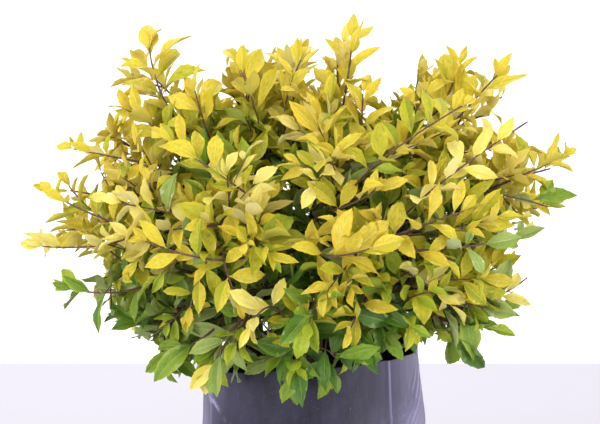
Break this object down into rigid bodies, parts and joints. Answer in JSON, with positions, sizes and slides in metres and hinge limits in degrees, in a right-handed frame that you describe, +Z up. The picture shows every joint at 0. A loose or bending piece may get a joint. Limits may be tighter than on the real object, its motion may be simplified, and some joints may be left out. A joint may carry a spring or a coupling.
{
  "type": "potted flowering shrub",
  "caption": "Golden-leaved duranta shrub with a wide domed crown of leafy shoots on a short forked stem, growing in a soft dark grow bag filled with soil.",
  "frame": {"origin": "middle of the flat underside of the grow bag, where it stands on the ground", "axes": "+Z up, +X to the plant's right as the picture shows it, -Y towards the picture's viewer"},
  "size_m": [0.6204, 0.5086, 0.6163],
  "materials": {
    "film": "dark slate-violet polythene film with a soft satin shine and soft creases",
    "soil": "dark brown crumbly potting soil, matt",
    "bark": "purple-brown bark, finely ridged and matt",
    "gold_foliage": "golden-yellow leaves with a light waxy shine",
    "lime_foliage": "lime-green leaves with a light waxy shine",
    "green_foliage": "deep green leaves with a light waxy shine"
  },
  "bodies": {
    "root": {"bag": "film", "soil": "soil", "stem": "bark", "bough_top_leader": "bark", "bough_upper_left": "bark", "bough_upper_right": "bark", "bough_left_mid": "bark", "bough_right_mid": "bark", "bough_front_left": "bark", "bough_front_right": "bark", "bough_back_left": "bark", "bough_back_right": "bark", "bough_front_low": "bark", "bough_top_mid": "bark", "bough_front_high": "bark", "bough_top_left": "bark", "bough_left_high": "bark", "bough_right_top": "bark", "bough_back_top": "bark", "bough_left_far": "bark", "bough_left_low": "bark", "bough_right_far": "bark", "bough_right_low": "bark", "bough_left_droop": "bark", "bough_front_mid_left": "bark", "bough_front_low_right": "bark", "bough_right_droop": "bark", "bough_back_low_left": "bark", "bough_back_droop": "bark", "bough_back_low_right": "bark", "bough_back_low": "bark", "foliage_top_leader": "gold_foliage", "foliage_upper_left": "gold_foliage", "foliage_upper_right": "gold_foliage", "foliage_left_mid": "gold_foliage", "foliage_right_mid": "lime_foliage", "foliage_front_left": "lime_foliage", "foliage_front_right": "lime_foliage", "foliage_back_left": "gold_foliage", "foliage_back_right": "gold_foliage", "foliage_front_low": "green_foliage", "foliage_top_mid": "gold_foliage", "foliage_front_high": "gold_foliage", "foliage_top_left": "gold_foliage", "foliage_left_high": "gold_foliage", "foliage_right_top": "gold_foliage", "foliage_back_top": "gold_foliage", "foliage_left_far": "lime_foliage", "foliage_left_low": "lime_foliage", "foliage_right_far": "gold_foliage", "foliage_right_low": "lime_foliage", "foliage_left_droop": "green_foliage", "foliage_front_mid_left": "green_foliage", "foliage_front_low_right": "green_foliage", "foliage_right_droop": "green_foliage", "foliage_back_low_left": "lime_foliage", "foliage_back_droop": "green_foliage", "foliage_back_low_right": "lime_foliage", "foliage_back_low": "lime_foliage"}
  },
  "joints": []
}
